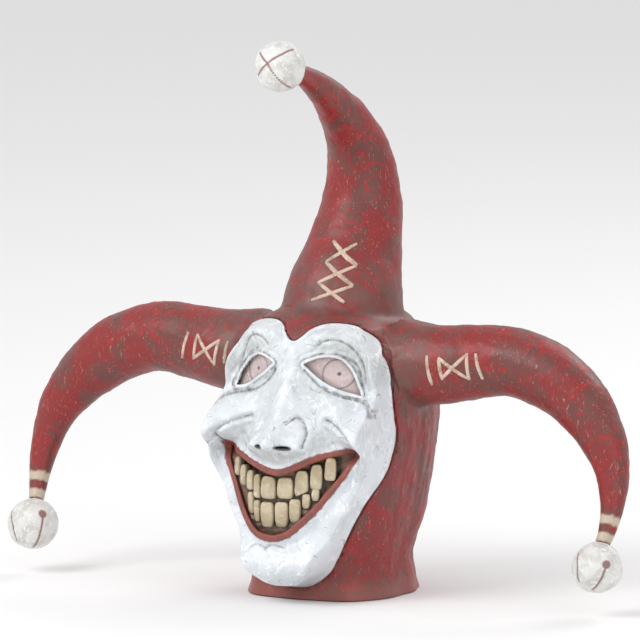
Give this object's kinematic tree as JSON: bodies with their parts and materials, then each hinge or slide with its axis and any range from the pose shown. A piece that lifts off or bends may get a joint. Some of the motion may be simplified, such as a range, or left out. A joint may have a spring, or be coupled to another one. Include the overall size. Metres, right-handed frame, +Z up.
{
  "type": "jester mask",
  "caption": "Over-the-head grinning jester mask: white face in a red cowl with an open neck, curved hollow horns tipped with balls.",
  "frame": {"origin": "under the middle of the whole mask's box, on the surface the neck rim stands on", "axes": "+Z up, the face looks along -Y, +X to the wearer's left"},
  "size_m": [0.6882, 0.2718, 0.5655],
  "materials": {
    "red_latex": "painted latex, dark red with brown wash, satin",
    "white_latex": "painted latex, off-white with grey wash, satin",
    "ball_white": "painted latex over foam, off-white with red-brown lines",
    "tooth_ivory": "painted latex, stained ivory, glossy",
    "gum_brown": "painted latex, dark brown-red, satin",
    "eye_pink": "painted latex, pale greyish pink, glossy"
  },
  "bodies": {
    "root": {"neck": "red_latex", "cowl": "red_latex", "face": "white_latex", "horn_left": "red_latex", "horn_right": "red_latex", "horn_top": "red_latex", "ball_left": "ball_white", "ball_right": "ball_white", "ball_top": "ball_white", "teeth_upper": "tooth_ivory", "teeth_lower": "tooth_ivory", "mouth_plate": "gum_brown", "eye_left": "eye_pink", "eye_right": "eye_pink"}
  },
  "joints": []
}
